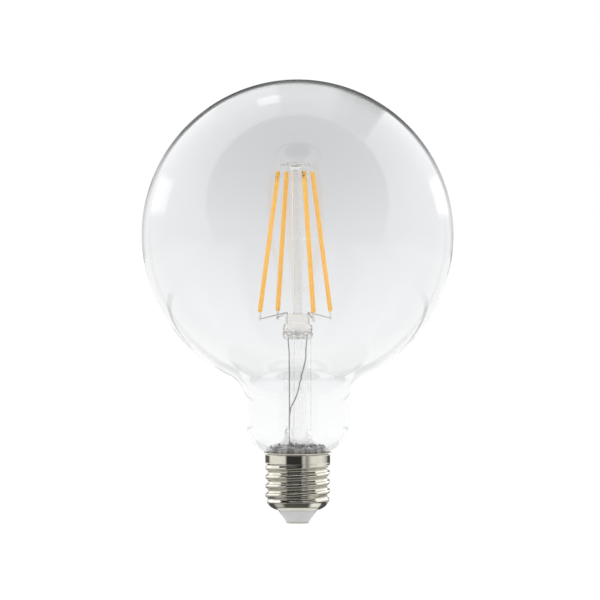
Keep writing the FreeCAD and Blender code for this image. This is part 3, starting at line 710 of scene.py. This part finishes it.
def level_by_ray(tree, stray, straight, mirrored):
    """Strength of a surface as a light, looked at straight, and in a reflection or through glass."""
    path = tree.nodes.new("ShaderNodeLightPath")
    through = tree.nodes.new("ShaderNodeMath")
    through.operation = "MAXIMUM"
    tree.links.new(path.outputs["Is Glossy Ray"], through.inputs[0])
    tree.links.new(path.outputs["Is Transmission Ray"], through.inputs[1])
    looked_at = tree.nodes.new("ShaderNodeMath")
    looked_at.operation = "MULTIPLY_ADD"
    tree.links.new(path.outputs["Is Camera Ray"], looked_at.inputs[0])
    looked_at.inputs[1].default_value = straight - stray
    looked_at.inputs[2].default_value = stray
    total = tree.nodes.new("ShaderNodeMath")
    total.operation = "MULTIPLY_ADD"
    tree.links.new(through.outputs[0], total.inputs[0])
    total.inputs[1].default_value = mirrored - stray
    tree.links.new(looked_at.outputs[0], total.inputs[2])
    return total.outputs[0]


def studio_world():
    """White surroundings, softer as a light than where they are looked at."""
    world = bpy.data.worlds.new("studio")
    bpy.context.scene.world = world
    world.use_nodes = True
    tree = world.node_tree
    background = tree.nodes["Background"]
    background.inputs["Color"].default_value = WHITE
    level = level_by_ray(tree, SURROUNDINGS_STRAY, SURROUNDINGS_STRAIGHT, SURROUNDINGS_MIRRORED)
    tree.links.new(level, background.inputs["Strength"])


def floor():
    """Pale floor that passes into the white surroundings and keeps the lamp's soft shadow."""
    data = bpy.data.meshes.new("floor")
    reach = FLOOR_REACH
    corners = [(-reach, -reach, 0), (reach, -reach, 0), (reach, reach, 0), (-reach, reach, 0)]
    data.from_pydata(corners, [], [(0, 1, 2, 3)])
    piece = bpy.data.objects.new("floor", data)
    bpy.context.collection.objects.link(piece)
    surface = Nodes("floor")
    surface.set(Base_Color=FLOOR_COLOUR, Roughness=FLOOR_ROUGHNESS, Specular_IOR_Level=0.0)
    surface.set(Emission_Color=WHITE)
    glow = level_by_ray(surface.tree, FLOOR_STRAY, FLOOR_STRAIGHT, FLOOR_MIRRORED)
    surface.feed("Emission Strength", glow)
    data.materials.append(surface.material)


def round_view(turn, spread):
    """Point of the studio at an angle from the camera's side, turned round that direction from the right."""
    across = math.sin(math.radians(spread)) * math.cos(math.radians(turn))
    along = -math.cos(math.radians(spread))
    up = math.sin(math.radians(spread)) * math.sin(math.radians(turn))
    return GLOBE_MIDDLE + SURROUND_DISTANCE * Vector((across, along, up))


def round_lamp(azimuth, reach, height):
    """Point at a distance from the lamp's axis; azimuth runs from the camera to the right."""
    across = reach * math.sin(math.radians(azimuth))
    along = -reach * math.cos(math.radians(azimuth))
    return Vector((across, along, height))


def on_floor(azimuth, reach):
    """Point just above the floor."""
    return round_lamp(azimuth, reach, TABLE_CLEARANCE)


def on_screen(azimuth, height):
    """Point of the low screen round the lamp."""
    return round_lamp(azimuth, SCREEN_REACH, height)


def close_behind(across, height):
    """Point of the small pale cards that stand just behind the neck."""
    return Vector((across, GREEN_DISTANCE, height))


def behind(across, height):
    """Point of the backdrop, behind the lamp."""
    return Vector((across, BACKDROP_DISTANCE, height))


def on_gauze(across, height):
    """Point of the sheer grey cloth close behind the globe."""
    return Vector((across, GAUZE_DISTANCE, height))


def full_colour(value):
    """Four numbers of a colour, from a grey level, a colour, or a colour with its density."""
    parts = value if isinstance(value, tuple) else (value, value, value)
    return parts if len(parts) == 4 else (*parts, 1.0)


def card(name, place, rows, columns, level, glass=False, sheer=False, steps=24):
    """Card of the studio, shown in reflections, or through glass where asked, and in nothing else.

    The place function turns a column value and a row value into a point. The level function gives the
    brightness or colour there, with a fourth number for how dense a sheer card is.
    """
    verts = []
    faces = []
    levels = []
    for row in range(steps + 1):
        row_value = rows[0] + (rows[1] - rows[0]) * row / steps
        for column in range(steps + 1):
            column_value = columns[0] + (columns[1] - columns[0]) * column / steps
            verts.append(place(column_value, row_value))
            levels.append(full_colour(level(column_value, row_value)))
    for row in range(steps):
        for column in range(steps):
            first = row * (steps + 1) + column
            faces.append((first, first + 1, first + steps + 2, first + steps + 1))
    data = bpy.data.meshes.new(name)
    data.from_pydata(verts, [], faces)
    shade = data.color_attributes.new("shade", "FLOAT_COLOR", "POINT")
    for item, value in zip(shade.data, levels):
        item.color = value
    piece = bpy.data.objects.new(name, data)
    bpy.context.collection.objects.link(piece)
    surface = Nodes(name)
    surface.set(Base_Color=BLACK, Roughness=1.0, Specular_IOR_Level=0.0, Emission_Strength=1.0)
    shown = surface.add("ShaderNodeVertexColor", layer_name="shade")
    surface.feed("Emission Color", shown.outputs["Color"])
    if sheer:
        surface.feed("Alpha", shown.outputs["Alpha"])
    data.materials.append(surface.material)
    piece.visible_camera = False
    piece.visible_diffuse = False
    piece.visible_transmission = glass
    piece.visible_glossy = not glass
    piece.visible_shadow = False


def mirrored_radius(spread):
    """Share of the globe's radius, from its middle, where it reflects that angle of the studio."""
    return math.sin(math.radians(spread / 2))


def crown_share(turn):
    """Is 1 over the crown and fades towards the sides."""
    return within(turn, *CROWN_TURNS)


def surround_level(turn, spread):
    """Brightness of the studio as the globe reflects it: dark camera side, bright panels, and gaps between."""
    radius = mirrored_radius(spread)
    edge = CAMERA_SIDE_EDGE + CAMERA_SIDE_EDGE_RISE * math.sin(math.radians(turn))
    rise = math.degrees(math.asin(math.sin(math.radians(spread)) * math.sin(math.radians(turn))))
    side = PANEL_LEVEL + PANEL_UPPER * ramp(rise, *PANEL_UPPER_FADE)
    for change, turns, radii in SURROUND_PATCHES:
        side += change * between(turn, *turns) * between(radius, *radii)
    side += (RIM_LEVEL - side) * ramp(radius, *RIM_RADII)
    crown = crown_share(turn) * ramp(radius, *CROWN_RADII)
    back = CROWN_LEVEL * crown + side * (1 - crown)
    front = CAMERA_SIDE_DARK + CAMERA_SIDE_TABLE * (1 - ramp(rise, *CAMERA_SIDE_FADE))
    level = front + (back - front) * ramp(radius, edge - CAMERA_SIDE_EDGE_SOFT, edge + CAMERA_SIDE_EDGE_SOFT)
    return tuple(part * level for part in SURROUND_TINT)


def crown_level(turn, spread):
    """Dark gap above the backdrop, with a faint green from the glass, paler towards the sides."""
    shade = CROWN_GAP_LEVEL + CROWN_GAP_SIDES * (1 - crown_share(turn))
    return tuple(part * shade for part in CROWN_GAP_TINT)


def backdrop_level(across, height):
    """White backdrop, a little blue."""
    return BACKDROP_WHITE


def gauze_level(across, height):
    """Soft grey cloud behind the upper globe."""
    tall = GAUZE_ABOVE if height > GAUZE_MIDDLE else GAUZE_BELOW
    spread = (across / GAUZE_WIDTH) ** 2 + ((height - GAUZE_MIDDLE) / tall) ** 2
    return (*GAUZE_SHADE, GAUZE_DENSITY * math.exp(-spread) * ramp(height, *GAUZE_FOOT))


def green_level(across, height):
    """Pale green patch with soft edges, seen in the curve between globe and neck."""
    share = within(abs(across), *GREEN_PATCH_SIDES) * within(height, *GREEN_PATCH_HEIGHTS)
    return tuple(GREEN_AROUND + (shade - GREEN_AROUND) * share for shade in GREEN_SHADE)


def strip_level(azimuth):
    """Brightness of the dark and pale strips round the lamp, between the named azimuths."""
    for (first, low), (last, high) in zip(STRIPS_ROUND, STRIPS_ROUND[1:]):
        if first <= azimuth <= last:
            return low + (high - low) * (azimuth - first) / (last - first)
    return 1.0


def near_level(azimuth, reach):
    """Table close to the lamp: grey near the cap, with the strips, which are fainter there."""
    grey = TABLE_GREY + TABLE_PALER * ramp(reach, *TABLE_FADE)
    share = STRIP_NEAR_SHARE + (1 - STRIP_NEAR_SHARE) * ramp(reach, *STRIP_FADE)
    return min(grey, 1.0 - (1.0 - strip_level(azimuth)) * share)


def apron_level(azimuth, reach):
    """Table in front of the lamp: grey with the strips near the cap, and dark far off."""
    far = FAR_DARKNESS * within(azimuth, *FAR_AZIMUTHS) * ramp(reach, *FAR_FADE)
    return min(near_level(azimuth, reach), 1.0 - far)


def shoulder_level(azimuth, reach):
    """Dark ring under the cap's shoulder, with a bright inner edge and a bright patch on each side."""
    right = SHADE_RIGHT_LEVEL * within(azimuth, *SHADE_RIGHT_AZIMUTHS)
    left = SHADE_LEFT_LEVEL * within(azimuth, *SHADE_LEFT_AZIMUTHS)
    patch = (right + left) * within(reach, *SHADE_PATCH_REACH)
    inner = 1 - ramp(reach, *SHADE_INNER_EDGE)
    outer = SHADE_OUTER_LEVEL * ramp(reach, *SHADE_OUTER_EDGE)
    return SHADE_LEVEL + (1 - SHADE_LEVEL) * max(patch, inner, outer)


def screen_level(azimuth, height):
    """Low screen with the table's strips; those at the sides only reach a little way up."""
    level = strip_level(azimuth)
    white = ramp(abs(azimuth), *SCREEN_SIDE_AZIMUTHS) * ramp(height, *SCREEN_SIDE_HEIGHTS)
    return level + (1 - level) * white


def studio_cards():
    """Studio round the lamp, strips on the table and the low screen, and what is seen through the glass."""
    card("surround", round_view, SURROUND_SPREADS, UPPER_TURNS, surround_level, steps=150)
    card("front_apron", on_floor, APRON_REACH, APRON_AZIMUTHS, apron_level, steps=72)
    card("left_table", on_floor, TABLE_REACH, LEFT_AZIMUTHS, near_level, steps=84)
    card("right_table", on_floor, TABLE_REACH, RIGHT_AZIMUTHS, near_level, steps=84)
    card("under_shade", on_floor, SHADE_REACH, SHADE_AZIMUTHS, shoulder_level, steps=72)
    card("low_screen", on_screen, SCREEN_HEIGHTS, SCREEN_AZIMUTHS, screen_level, steps=156)
    card("green_left", close_behind, GREEN_CARD_HEIGHTS, GREEN_LEFT_SIDES, green_level, glass=True)
    card("green_right", close_behind, GREEN_CARD_HEIGHTS, GREEN_RIGHT_SIDES, green_level, glass=True)
    card("crown_gap", round_view, CROWN_GAP_SPREADS, UPPER_TURNS, crown_level, glass=True)
    card("gauze", on_gauze, GAUZE_HEIGHTS, GAUZE_SIDES, gauze_level, glass=True, sheer=True, steps=60)
    card("backdrop", behind, BACKDROP_HEIGHTS, BACKDROP_SIDES, backdrop_level, glass=True)


def soft_light(name, place, watts):
    """Round soft light aimed at the lamp, not seen in reflections or through glass."""
    data = bpy.data.lights.new(name, "AREA")
    data.shape = "DISK"
    data.size = LIGHT_SIZE
    data.energy = watts
    light = bpy.data.objects.new(name, data)
    light.location = place
    light.rotation_euler = (Vector(place) - LIGHT_AIM).to_track_quat("Z", "Y").to_euler()
    light.visible_glossy = False
    light.visible_transmission = False
    bpy.context.collection.objects.link(light)


def camera():
    """The photograph's view: level with the globe, framed on the lamp's middle height."""
    data = bpy.data.cameras.new("camera")
    piece = bpy.data.objects.new("camera", data)
    bpy.context.collection.objects.link(piece)
    across = (IMAGE_PIXELS / 2 - AXIS_PIXEL) * PIXEL_SIZE
    height = (CONTACT_PIXEL - HORIZON_PIXEL) * PIXEL_SIZE
    middle = (CONTACT_PIXEL - IMAGE_PIXELS / 2) * PIXEL_SIZE
    piece.location = (across, -CAMERA_DISTANCE, height)
    aim = Vector((across, 0.0, middle))
    piece.rotation_euler = (piece.location - aim).to_track_quat("Z", "Y").to_euler()
    data.sensor_width = SENSOR_WIDTH
    data.lens = SENSOR_WIDTH * (piece.location - aim).length / (IMAGE_PIXELS * PIXEL_SIZE)
    bpy.context.scene.camera = piece


nickel_plate = nickel()
globe_piece()
shell_piece(nickel_plate)
dress_nodes(nickel_plate)
studio_world()
floor()
studio_cards()
soft_light("left_lamp", place=(-1.2, -0.6, 1.0), watts=6.0)
soft_light("right_lamp", place=(1.1, -0.4, 0.9), watts=5.0)
camera()
scene = bpy.context.scene
scene.view_settings.view_transform = "Standard"
scene.cycles.max_bounces = GLASS_BOUNCES
scene.cycles.transmission_bounces = GLASS_BOUNCES
scene.cycles.glossy_bounces = MIRROR_BOUNCES
